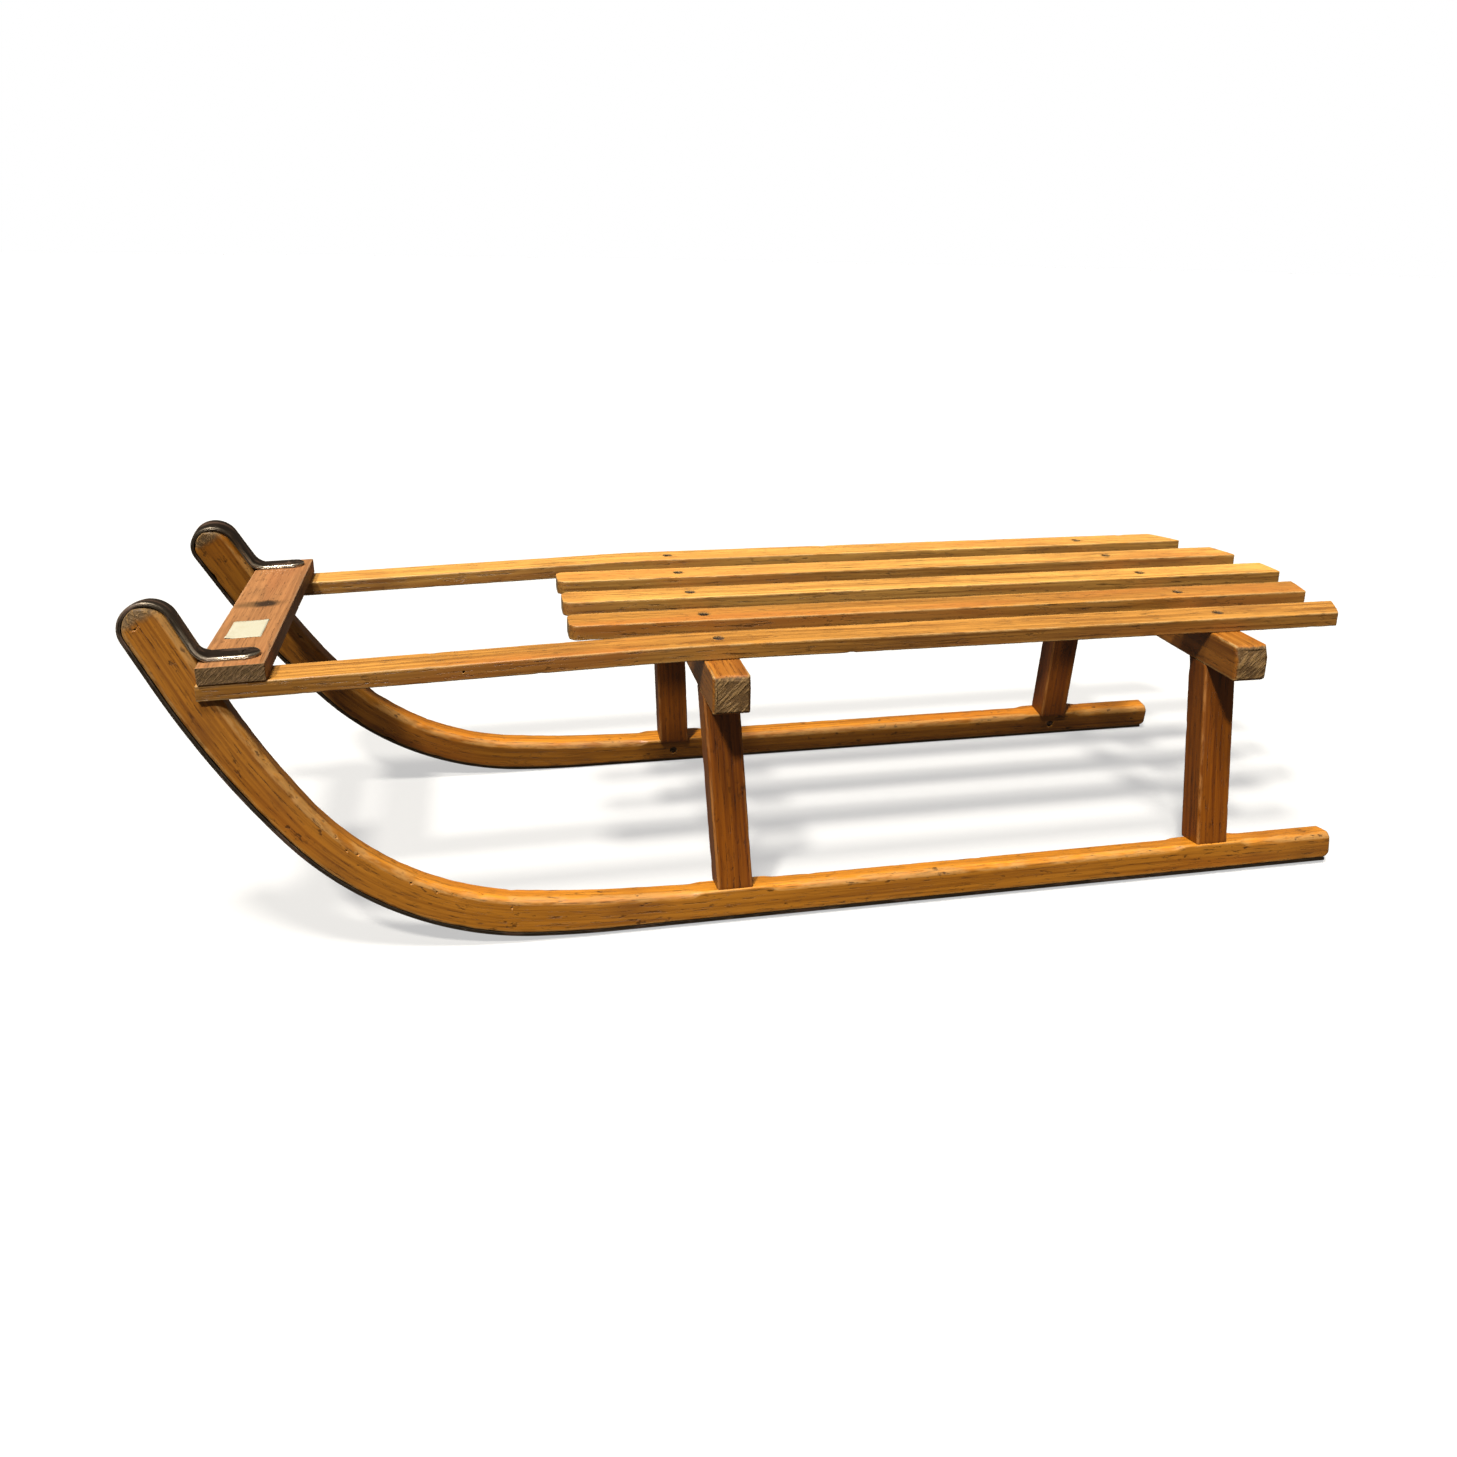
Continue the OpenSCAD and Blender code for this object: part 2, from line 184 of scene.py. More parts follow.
def wear(s, a, b, na, nb, edge, seed, waves, chips, rub=None):
    """Moves the skin inwards a little: long gentle waves, and chips along the edges."""
    moved = np.zeros_like(a)
    off = Vector((seed * 3.17, seed * 1.31, seed * 0.73))
    for i in range(a.shape[0]):
        for j in range(a.shape[1]):
            p = Vector((s[i, j], a[i, j], b[i, j]))
            slow = noise.noise(Vector((p.x * 14, p.y * 45, p.z * 45)) + off)
            near_edge = math.exp(-edge[i, j] / (1.5 * mm))
            chip = 0.0
            if near_edge > 0.05:
                fine = noise.noise(Vector((p.x * 95, p.y * 160, p.z * 160)) + off)
                rare = noise.noise(Vector((p.x * 22, p.y * 30, p.z * 30)) - off)
                chip = near_edge * (max(0.0, fine - 0.28) * 1.6 * max(0.0, rare + 0.25)
                                    + 0.10 * (0.5 + fine))
            moved[i, j] = waves * 0.5 * (0.6 + slow) + chips * chip
    if rub is not None:
        moved = moved * rub
    moved = np.maximum(moved, 0)
    return a - moved * na, b - moved * nb


def with_ends(start, end, step, round_start, round_end, flat):
    """Stations from start to end, closer together in the rounded ends. Returns their places,
    how far the skin is inset there, and 1 on the outermost ones, fading to 0 inwards."""
    steps = 4

    def rounded(k, reach):
        """How far step k of a rounded end lies from the end's face, and from the sides."""
        turn = math.radians(90 * k / steps)
        return (reach * ((1 - flat) * (1 - math.cos(turn)) + flat * k / steps),
                reach * ((1 - flat) * (1 - math.sin(turn)) + flat * (1 - k / steps)))

    near = [rounded(k, round_start) for k in range(steps + 1)]
    far = [rounded(k, round_end) for k in range(steps, -1, -1)]
    count = max(2, round((end - start) / step))
    body = np.linspace(start + round_start, end - round_end, count + 1)[1:-1]
    plain = [0.0] * len(body)
    places = [start + x for x, _ in near] + list(body) + [end - x for x, _ in far]
    inset = [y for _, y in near] + plain + [y for _, y in far]
    fade = [1 - k / steps for k in range(steps + 1)]
    last = fade + plain + fade[::-1]
    return np.array(places), np.array(inset), np.array(last)


def set_attribute(mesh, name, kind, values):
    field = "vector" if kind == "FLOAT_VECTOR" else "value"
    layer = mesh.attributes.new(name, kind, "POINT")
    layer.data.foreach_set(field, np.asarray(values, np.float32).ravel())


def make_mesh(name, points, faces, flat_faces, grain, edge, end):
    mesh = bpy.data.meshes.new(name)
    mesh.from_pydata(points.reshape(-1, 3).tolist(), [], faces)
    set_attribute(mesh, "grain", "FLOAT_VECTOR", grain)
    set_attribute(mesh, "edge", "FLOAT", edge)
    set_attribute(mesh, "end", "FLOAT", end)
    smooth = np.ones(len(faces), bool)
    smooth[list(flat_faces)] = False
    mesh.polygons.foreach_set("use_smooth", smooth)
    work = bmesh.new()
    work.from_mesh(mesh)
    bmesh.ops.recalc_face_normals(work, faces=work.faces)
    work.to_mesh(mesh)
    work.free()
    mesh.update()
    return mesh


def per_point(values, like):
    """One value per station, repeated for each point of its ring."""
    return np.repeat(values[:, None], like.shape[1], axis=1)


def skin(name, points, grain, edge, end):
    """A closed skin over rings of points, (stations, points, 3)."""
    n, m = points.shape[:2]
    faces = [(i * m + j, i * m + (j + 1) % m, (i + 1) * m + (j + 1) % m, (i + 1) * m + j)
             for i in range(n - 1) for j in range(m)]
    faces += [tuple(range(m)), tuple((n - 1) * m + j for j in range(m))]
    mesh = make_mesh(name, points, faces, (len(faces) - 2, len(faces) - 1), grain, edge, end)
    return new_object(name, mesh)


def finish_piece(piece, slot, material, *nodes):
    piece.data.materials.clear()
    piece.data.materials.append(material)
    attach(piece, "root")
    if nodes:
        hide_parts(*nodes)
    return piece


def pith(seed, reach=45 * mm):
    """Where the heart of the tree lay, seen from the middle of the piece, and a start along it."""
    turn = seed * 2.4
    return np.array([seed * 0.37, reach * math.cos(turn), reach * math.sin(turn)])


def beam(name, origin, forward, across, up, half_w, half_h, start, end, seed, radius, round_ends,
         chips, waves=0.25 * mm, bend=None, width_at=None, skew_start=None, skew_end=None,
         end_flat=0.3):
    """A straight beam: its skin runs from start to end along forward. skew_start and skew_end
    give, from the place across, how far an end is shifted; bend gives the shift upwards, and
    width_at half the width."""
    s, inset, last = with_ends(start, end, 3 * mm, *round_ends, end_flat)
    wide = np.full_like(s, half_w) if width_at is None else width_at(s)
    r = np.repeat((np.maximum(radius - inset * 0.5, 0.3 * mm))[:, None], 4, axis=1)
    a, b, na, nb, edge = rings(wide - inset, -half_h + inset, half_h - inset, r, flat=0.2)
    along = per_point(s, a)
    a, b = wear(along, a, b, na, nb, edge, seed, waves, chips)
    share = ((s - start) / (end - start))[:, None]
    if skew_start is not None:
        along = along + skew_start(a, b) * (1 - share)
    if skew_end is not None:
        along = along + skew_end(a, b) * share
    grain = np.stack([along, a, b], -1) + pith(seed)
    lift = 0 if bend is None else bend(along)
    points = (np.array(origin) + along[..., None] * np.array(forward)
              + a[..., None] * np.array(across) + (b + lift)[..., None] * np.array(up))
    return skin(name, points, grain, edge, per_point(last, a))


# ---- holes ----


def cutter(place, axis, r_top, r_low, depth):
    """A tapered plug along axis, whose wide end stands a little outside place."""
    turn = Vector(axis).to_track_quat("Z", "Y").to_matrix()
    sides = 28
    points = []
    for height, r in ((0.6 * mm, r_top), (-depth, r_low)):
        for k in range(sides):
            t = 2 * math.pi * k / sides
            points.append(Vector(place) + turn @ Vector((r * math.cos(t), r * math.sin(t), height)))
    faces = [(k, (k + 1) % sides, sides + (k + 1) % sides, sides + k) for k in range(sides)]
    faces += [tuple(range(sides)), tuple(range(sides, 2 * sides))]
    return points, faces


def drill(piece, holes):
    """Cuts tapered holes, each (place, axis, top radius, bottom radius, depth), in a piece."""
    points, faces = [], []
    for hole in holes:
        more, sides = cutter(*hole)
        faces += [tuple(len(points) + i for i in f) for f in sides]
        points += more
    points = np.array([list(p) for p in points])
    mesh = make_mesh("cutter", points, faces, range(len(faces)), points,
                     np.full(len(points), 4 * mm), np.full(len(points), 0.6))
    tool = new_object("cutter", mesh)
    cut = piece.modifiers.new("holes", "BOOLEAN")
    cut.object, cut.operation, cut.solver = tool, "DIFFERENCE", "EXACT"
    graph = bpy.context.evaluated_depsgraph_get()
    bpy.context.view_layer.update()
    done = bpy.data.meshes.new_from_object(piece.evaluated_get(graph), depsgraph=graph,
                                           preserve_all_data_layers=True)
    piece.modifiers.clear()
    old, piece.data = piece.data, done
    bpy.data.meshes.remove(old)
    bpy.data.objects.remove(tool)
    done.name = piece.name


# ---- material nodes ----


class Graph:
    """Small helper that adds and links shader nodes."""

    def __init__(self, name):
        self.material = bpy.data.materials.new(name)
        self.material.use_nodes = True
        self.tree = self.material.node_tree
        self.shader = self.tree.nodes["Principled BSDF"]

    def add(self, kind, inputs=(), **settings):
        node = self.tree.nodes.new("ShaderNode" + kind)
        for key, value in settings.items():
            setattr(node, key, value)
        for key, value in dict(inputs).items():
            self.put(node.inputs[key], value)
        return node

    def put(self, socket, value):
        if isinstance(value, bpy.types.NodeSocket):
            self.tree.links.new(value, socket)
        elif isinstance(value, (tuple, list)) and len(value) == 3 and socket.type == "RGBA":
            socket.default_value = (*value, 1)
        else:
            socket.default_value = value

    def shade(self, inputs):
        """Sets or links the shader's own inputs, and returns the finished material."""
        for key, value in inputs.items():
            self.put(self.shader.inputs[key], value)
        return self.material

    def math(self, operation, first, second, clamp=False):
        inputs = {0: first, 1: second}
        return self.add("Math", inputs, operation=operation, use_clamp=clamp).outputs[0]

    def plus(self, first, second, clamp=False):
        return self.math("ADD", first, second, clamp)

    def minus(self, first, second):
        return self.math("SUBTRACT", first, second)

    def times(self, first, second):
        return self.math("MULTIPLY", first, second)

    def attribute(self, name):
        node = self.add("Attribute", attribute_name=name)
        return node.outputs["Vector"] if name == "grain" else node.outputs["Fac"]

    def stretch(self, vector, scale, shift=(0, 0, 0)):
        node = self.add("Mapping", {"Vector": vector, "Scale": scale, "Location": shift})
        return node.outputs[0]

    def noise(self, vector, detail=3.0, rough=0.5, distortion=0.0):
        node = self.add("TexNoise", {"Vector": vector, "Scale": 1.0, "Detail": detail,
                                     "Roughness": rough, "Distortion": distortion})
        return node.outputs["Fac"]

    def between(self, value, low, high, out_low=0.0, out_high=1.0):
        node = self.add("MapRange", {"Value": value, "From Min": low, "From Max": high,
                                     "To Min": out_low, "To Max": out_high},
                        interpolation_type="SMOOTHSTEP")
        return node.outputs[0]

    def mix(self, share, first, second, blend="MIX"):
        node = self.add("Mix", data_type="RGBA", blend_type=blend)
        self.put(node.inputs["Factor"], share)
        self.put(node.inputs["A"], first)
        self.put(node.inputs["B"], second)
        return node.outputs["Result"]

    def bump(self, height, distance, strength):
        inputs = {"Height": height, "Distance": distance, "Strength": strength}
        return self.add("Bump", inputs).outputs[0]


def scaled(share, colour):
    return tuple(share * c for c in colour)


def wood(name, light, dark, deep, pale, end_colour, ring_gap, figure, pores, edge_wear=0.6,
         rough=0.42, coat=0.1, dirt=0.4, top=1.5, red=0.4, saw_gap=1.5 * mm, knot=None):
    """Varnished wood with growth rings, fibre streaks, pores, blotches and worn edges. Faces that
    look up are lighter by the factor top: painted light from above."""
    g = Graph(name)
    grain, edge, end = g.attribute("grain"), g.attribute("edge"), g.attribute("end")

    # Growth rings, bent a little, then streaks and pores along the fibres.
    wobble = g.minus(g.noise(g.stretch(grain, (5, 22, 22)), detail=2), 0.5)
    push = g.add("CombineXYZ", {"Y": g.times(wobble, 14 * mm), "Z": g.times(wobble, -9 * mm)})
    bent = g.add("VectorMath", {0: grain, 1: push.outputs[0]}, operation="ADD").outputs[0]
    ring = g.add("TexWave", {"Vector": g.stretch(bent, (0.06, 1, 1)), "Scale": 0.314 / ring_gap,
                             "Distortion": 1.2, "Detail": 2.0, "Detail Scale": 1.6},
                 wave_type="RINGS", rings_direction="X", wave_profile="SAW").outputs["Fac"]
    late = g.between(ring, 0.35, 1.0)
    streak = g.noise(g.stretch(grain, (5, 300, 300)), detail=5, rough=0.7)
    broad = g.noise(g.stretch(grain, (2.4, 60, 60)), detail=2)
    cloud = g.noise(g.stretch(grain, (7, 16, 16), (3, 1, 2)), detail=3)
    dash = g.noise(g.stretch(grain, (48, 780, 780)), detail=3, rough=0.6)
    pore = g.times(g.between(dash, 0.56, 0.65), g.between(ring, 0.1, 0.9, 0.4, 1.0))

    # Colour of the varnished faces: tone, red patches, dark blotches, painted top light, pores.
    tone = g.plus(g.times(late, figure * 0.55), g.times(g.between(streak, 0.36, 0.64), 0.7))
    tone = g.plus(tone, g.minus(broad, 0.52), clamp=True)
    colour = g.mix(tone, light, dark)
    reddish = g.noise(g.stretch(grain, (4, 26, 26), (7, 2, 9)), detail=2)
    colour = g.mix(g.times(g.between(reddish, 0.50, 0.72), red), colour,
                   (0.85 * light[0], 0.62 * light[1], 0.55 * light[2]))
    colour = g.mix(g.times(g.between(cloud, 0.52, 0.74), 0.5), colour, deep)
    # Painted light: faces that look up are made lighter by the factor top, as if lit from above.
    facing = g.add("NewGeometry").outputs["Normal"]
    painted_top_light = g.between(g.add("SeparateXYZ", {0: facing}).outputs["Z"], 0.45, 0.9)
    colour = g.mix(painted_top_light, colour, g.mix(1.0, colour, (top, top, top), blend="MULTIPLY"))
    colour = g.mix(g.times(pore, pores), colour, scaled(0.35, deep))

    # Worn edges and dirt.
    speck = g.noise(g.stretch(grain, (130, 260, 260)), detail=4)
    rub = g.noise(g.stretch(grain, (28, 120, 120), (5, 5, 5)), detail=4, rough=0.65)
    uneven = g.minus(rub, 0.5)
    near = g.between(g.plus(edge, g.times(uneven, 5 * mm)), 0.1 * mm, 1.6 * mm, 1.0, 0.0)
    near = g.times(near, g.between(rub, 0.38, 0.6))
    colour = g.mix(g.times(near, edge_wear), colour, pale)
    grime = g.times(g.between(speck, 0.57, 0.66), g.between(rub, 0.5, 0.62))
    colour = g.mix(g.times(grime, dirt), colour, scaled(0.25, deep))
    if knot is not None:
        colour = add_knot(g, grain, colour, deep, *knot)

    # End grain, with slanting saw marks.
    across_saw = g.add("Mapping", {"Vector": grain, "Rotation": (0.75, 0, 0)}).outputs[0]
    saw = g.noise(g.stretch(across_saw, (200, 0.16 / saw_gap, 1.0 / saw_gap)), detail=4,
                  distortion=0.4)
    saw = g.between(saw, 0.42, 0.66)
    fuzz = g.noise(g.stretch(grain, (420, 420, 420)), detail=4, rough=0.7)
    cut = g.mix(g.between(fuzz, 0.35, 0.68), scaled(0.55, end_colour), end_colour)
    cut = g.mix(g.times(saw, 0.32), cut, pale)
    cut = g.mix(g.times(late, 0.3), cut, scaled(0.5, end_colour))
    open_end = g.between(g.plus(end, g.times(uneven, 0.8)), 0.25, 0.75)
    colour = g.mix(open_end, colour, cut)

    dull = g.times(g.plus(near, open_end), 0.28)
    dull = g.plus(g.between(cloud, 0.3, 0.7, rough - 0.07, rough + 0.1), dull, clamp=True)
    height = g.plus(g.times(streak, 0.35), g.times(pore, -0.8))
    height = g.plus(height, g.times(g.times(saw, open_end), 2.2))
    height = g.plus(height, g.times(g.times(fuzz, open_end), 1.8))
    height = g.plus(height, g.times(grime, -0.8))
    return g.shade({"Base Color": colour, "Roughness": dull, "Specular IOR Level": 0.3,
                    "Coat Weight": coat, "Coat Roughness": 0.3,
                    "Normal": g.bump(height, 0.35 * mm, 0.7)})


def add_knot(g, grain, colour, deep, centre, reach):
    """A dark eye round centre, in grain coordinates, with an olive band beside it."""

    def ragged(shift, by_along, by_across):
        from_centre = tuple(s - c for s, c in zip(shift, centre))
        away = g.add("VectorMath", {0: grain, 1: from_centre}, operation="ADD").outputs[0]
        away = g.stretch(away, (1 / by_along, 1 / by_across, 1 / by_across))
        length = g.add("VectorMath", {0: away}, operation="LENGTH").outputs["Value"]
        return g.plus(length, g.times(g.noise(g.stretch(grain, (160, 160, 160))), 0.5))

    beside = ragged((0, -7 * mm, 0), 0.75 * reach, 1.6 * reach)
    olive = (0.9 * deep[0], 1.1 * deep[1], deep[2])
    colour = g.mix(g.between(beside, 0.7, 1.6, 0.65, 0.0), colour, olive)
    eye = ragged((0, 0, 0), reach, reach)
    return g.mix(g.between(eye, 0.65, 1.15, 0.95, 0.0), colour, scaled(0.34, deep))


def steel(name, patina, bright, rust, shine, rust_share):
    """Dark iron: brown patina and rust in patches, rubbed bright along the edges where end is 1;
    the bright edges are partly a painted highlight.
    """
    g = Graph(name)
    grain, edge, end = g.attribute("grain"), g.attribute("edge"), g.attribute("end")
    cloud = g.noise(g.stretch(grain, (45, 160, 160)), detail=4, rough=0.6)
    fine = g.noise(g.stretch(grain, (500, 900, 900)), detail=4, rough=0.6)
    scratch = g.noise(g.stretch(grain, (25, 2200, 2200)), detail=3)
    colour = g.mix(g.between(fine, 0.3, 0.75), patina, scaled(1.9, patina))
    rusty = g.times(g.between(cloud, 0.50, 0.66), rust_share)
    colour = g.mix(rusty, colour, rust)
    # Bright edges: partly rubbed steel, partly a painted highlight along the rounded edges.
    near = g.plus(edge, g.times(g.minus(cloud, 0.5), 6 * mm))
    near = g.between(near, 0.0, 1.4 * mm, 1.0, 0.0)
    rubbed_and_highlight = g.times(near, g.between(scratch, 0.3, 0.6, 0.4, 1.0))
    rubbed_and_highlight = g.times(rubbed_and_highlight, g.between(end, 0.0, 1.0, 0.2, 1.0))
    dull = g.minus(g.times(rusty, 0.3), g.times(rubbed_and_highlight, 0.14))
    height = g.plus(g.times(fine, 0.6), g.times(cloud, 1.2))
    return g.shade({"Base Color": g.mix(g.times(rubbed_and_highlight, shine), colour, bright),
                    "Metallic": g.between(rusty, 0.0, 0.5, 0.9, 0.35),
                    "Roughness": g.plus(g.between(fine, 0.3, 0.7, 0.34, 0.5), dull),
                    "Normal": g.bump(height, 0.25 * mm, 0.6)})


def paper(name):
    g = Graph(name)
    grain = g.attribute("grain")
    fibre = g.noise(g.stretch(grain, (900, 900, 900)), detail=4)
    stain = g.noise(g.stretch(grain, (60, 60, 60)), detail=3)
    colour = g.mix(g.between(fibre, 0.3, 0.7), (0.335, 0.315, 0.23), (0.375, 0.36, 0.28))
    stained = g.times(g.between(stain, 0.5, 0.75), 0.35)
    return g.shade({"Base Color": g.mix(stained, colour, (0.30, 0.25, 0.15)),
                    "Roughness": g.between(fibre, 0.3, 0.7, 0.7, 0.9),
                    "Normal": g.bump(fibre, 0.05 * mm, 0.5)})


# ---- the splayed sides ----


class Side:
    """One side of the sled: u runs forward, w outwards from the runner's face, v up the splay."""

    def __init__(self, sign):
        self.sign = sign
        self.name = "left" if sign > 0 else "right"
        self.out = np.array([0, sign * math.cos(SPLAY), math.sin(SPLAY)])
        self.up = np.array([0, -sign * math.sin(SPLAY), math.cos(SPLAY)])
        self.forward = np.array([1.0, 0, 0])
        self.origin = np.array([0, sign * TRACK_HALF, LIFT])

    def at(self, u, w, v):
        u, w, v = (np.asarray(x, float)[..., None] for x in (u, w, v))
        return self.origin + u * self.forward + w * self.out + v * self.up

    def turned(self, forward_share, up_share):
        f, v = (np.asarray(x, float)[..., None] for x in (forward_share, up_share))
        return f * self.forward + v * self.up


LEFT, RIGHT = Side(1), Side(-1)


def up_normal(angle):
    return np.array([-math.sin(angle), math.cos(angle)])


def along(angle):
    return np.array([math.cos(angle), math.sin(angle)])


def swung(point, r, first, last):
    """Where a bend of radius r ends that starts at point and turns from first to last."""
    return point + r * np.array([math.sin(last) - math.sin(first),
                                 math.cos(first) - math.cos(last)])


def bend_starts():
    """The point (u, v) and angle where each bend starts, and where the last one ends."""
    point, angle, found = np.array([RISE_X, 0.0]), 0.0, []
    for r, end_deg in BENDS:
        found.append((point, angle))
        end = math.radians(end_deg)
        point, angle = swung(point, r, angle, end), end
    return found + [(point, angle)]


BEND_POINTS = bend_starts()
HORN_FOOT = BEND_POINTS[-1][0]
TIP_FRONT = HORN_FOOT + HORN_STRAIGHT * along(HORN)
TIP_MID = TIP_FRONT + HORN_DEPTH / 2 * up_normal(HORN)


# Dents in the left runner's tight bend: angle there in degrees, place above the middle of the
# wood as a share of its depth, and radius
DENTS = ((9, 0.22, 1.4 * mm), (20, 0.36, 1.8 * mm), (23, 0.30, 1.2 * mm), (28, 0.30, 1.6 * mm),
         (39, 0.34, 1.9 * mm), (41, 0.26, 1.3 * mm), (44, 0.38, 1.7 * mm))


def bend_middle(angle):
    """The point half way through the wood in the tight bend."""
    (point, first), r = BEND_POINTS[1], BENDS[1][0]
    return swung(point, r, first, angle) + BEND_DEPTH / 2 * up_normal(angle)


def sole_depth(u):
    share = np.clip((u - SWELL_X) / (RISE_X - SWELL_X), 0, 1)
    return SOLE_DEPTH + (BEND_DEPTH - SOLE_DEPTH) * SWELL_SHARE * share


def lower_line(step, start):
    """Stations along the runner's lower face: (u, v, angle, depth of wood there)."""
    rows = [(u, 0.0, 0.0, sole_depth(u))
            for u in np.linspace(start, RISE_X, round((RISE_X - start) / step))]
    for i, (r, end_deg) in enumerate(BENDS):
        (point, first), end = BEND_POINTS[i], math.radians(end_deg)
        count = max(4, round(r * (end - first) / step))
        for k in range(1, count + 1):
            share = k / count
            angle = first + (end - first) * share
            u, v = swung(point, r, first, angle)
            rise = SWELL_SHARE + (1 - SWELL_SHARE) * share
            depth = (SOLE_DEPTH + (BEND_DEPTH - SOLE_DEPTH) * rise, BEND_DEPTH,
                     BEND_DEPTH + (HORN_DEPTH - BEND_DEPTH) * share)[i]
            rows.append((u, v, angle, depth))
    count = round(HORN_STRAIGHT / step)
    rows += [(*(HORN_FOOT + HORN_STRAIGHT * k / count * along(HORN)), HORN, HORN_DEPTH)
             for k in range(1, count + 1)]
    return np.array(rows)


def smoothstep(x, low, high):
    t = np.clip((x - low) / (high - low), 0, 1)
    return t * t * (3 - 2 * t)


def foot_x(end):
    rise = (BAR_BOTTOM - LIFT) / math.cos(SPLAY) - SOLE_DEPTH
    return BAR_FRONT.x - rise * math.tan(FRONT_RAKE) if end > 0 else BAR_REAR.x


def runner(side, material):
    seed = 3.0 if side.sign > 0 else 8.0
    rows = lower_line(3 * mm, HEEL_X)
    r = HORN_DEPTH / 2
    mid = rows[:, :2] + (rows[:, 3] / 2)[:, None] * np.array([up_normal(a) for a in rows[:, 2]])
    half, angle = rows[:, 3] / 2, rows[:, 2]
    tip_turns = np.radians(np.linspace(4, 88, 22))
    tip = TIP_MID + r * np.sin(tip_turns)[:, None] * along(HORN)
    mid = np.concatenate([mid, tip])
    half = np.concatenate([half, r * np.cos(tip_turns)])
    angle = np.concatenate([angle, np.full(len(tip_turns), HORN)])
    run = np.concatenate([[0], np.cumsum(np.hypot(*np.diff(mid, axis=0).T))])

    # The heel: a worn corner below, and slightly rounded all round.
    heel_round = 1.2 * mm
    close = np.array([0, 0.2, 0.5, 0.9, 1.6, 2.4]) * mm
    sole_mid = np.full(len(close), SOLE_DEPTH / 2)
    mid = np.concatenate([np.stack([HEEL_X + close, sole_mid], 1), mid[1:]])
    half = np.concatenate([sole_mid, half[1:]])
    angle = np.concatenate([np.zeros(len(close)), angle[1:]])
    run = np.concatenate([close, run[1:]])
    u = mid[:, 0]
    edge_in = np.clip(1 - run / heel_round, 0, 1)
    inset = heel_round * (1 - np.sqrt(1 - edge_in**2))
    corner_run, corner_rise = 7 * mm, 6 * mm
    low_cut = corner_rise * (1 - np.sqrt(1 - np.clip(1 - run / corner_run, 0, 1)**2))

    # Upper edges: broad chamfers that stop short of the legs; the horn is rounded all round.
    pad, soft = LEG_W / 2 + 18 * mm, 6 * mm
    near_leg = np.zeros_like(u)
    for end in (1, -1):
        gap = np.abs(u - foot_x(end))
        near_leg = np.maximum(near_leg, 1 - smoothstep(gap, pad - soft, pad + soft))
    plain = 1.6 * mm
    upper = plain + 3.6 * mm * (1 - near_leg)
    lower = plain + plain * smoothstep(run, run[-1] - 300 * mm, run[-1] - 120 * mm)
    radius = np.stack([lower, upper, upper, lower], 1)
    radius = np.minimum(radius, 0.92 * (half - inset)[:, None])
    a, b, na, nb, edge = rings(np.full_like(u, RUNNER_T / 2) - inset, -half + inset + low_cut,
                               half - inset, radius, flat=0.45)
    s = per_point(run, a)
    most_worn, spread = run[-1] - 200 * mm, 220 * mm
    rub = 1 + 1.6 * np.exp(-((run - most_worn) / spread)**2)[:, None]
    a, b = wear(s, a, b, na, nb, edge, seed, waves=0.3 * mm, chips=1.5 * mm, rub=rub)
    normal = np.stack([-np.sin(angle), np.cos(angle)], 1)
    centre = side.at(mid[:, 0], -RUNNER_T / 2, mid[:, 1])
    up = side.turned(normal[:, 0], normal[:, 1])
    points = centre[:, None] + a[..., None] * side.out + b[..., None] * up[:, None]
    grain = np.stack([s, a, b], -1) + pith(seed, 60 * mm)
    worn_tip = 0.85 * smoothstep(run, run[-1] - 20 * mm, run[-1] - 2 * mm)
    heel_end = np.where(run < 1.0 * mm, 1.0, 0.0)
    end = np.maximum(worn_tip, heel_end)
    piece = skin(f"runner_{side.name}_wood", points, grain, edge, per_point(end, a))
    holes = [(side.at(foot_x(e), -RUNNER_T, LEG_SCREW_V), -side.out,
              4.3 * mm, 4.0 * mm, 2.2 * mm) for e in (1, -1)]
    if side.sign > 0:
        nail = TIP_MID + 4 * mm * along(HORN) - 6 * mm * up_normal(HORN)
        holes.append((side.at(nail[0], 0, nail[1]), side.out, 1.0 * mm, 0.6 * mm, 3 * mm))
        for degrees, share, wide in DENTS:
            turn = math.radians(degrees)
            point = bend_middle(turn) + share * BEND_DEPTH * up_normal(turn)
            holes.append((side.at(point[0], 0, point[1]), side.out, wide, 0.3 * wide, 1.1 * mm))
    drill(piece, holes)
    return finish_piece(piece, "runner_wood", material, f"runner_{side.name}")


def leg(side, end, material):
    name = "leg_{}_{}".format("front" if end > 0 else "rear", side.name)
    rake = FRONT_RAKE if end > 0 else 0.0
    axis = side.turned(math.sin(rake), math.cos(rake))
    width = side.turned(math.cos(rake), -math.sin(rake))
    foot = side.at(foot_x(end), -LEG_INSET - LEG_T / 2, SOLE_DEPTH)
    sunk = 0.3 * mm

    def to_bar(a, b):
        """Shift along the leg that brings the top onto the crossbar's underside."""
        here = foot[2] + a * side.out[2] + b * width[2]
        return (BAR_BOTTOM + sunk - here) / axis[2] - length

    def to_runner(a, b):
        return b * math.tan(rake)

    length = (BAR_BOTTOM - foot[2]) / axis[2]
    seed = 20.0 + end + 3 * side.sign
    piece = beam(name + "_wood", foot, axis, side.out, width, LEG_T / 2, LEG_W / 2, -sunk, length,
                 seed, 1.5 * mm, (0.2 * mm, 0.2 * mm), skew_end=to_bar, skew_start=to_runner,
                 chips=1.1 * mm)
    return finish_piece(piece, "leg_wood", material, name)


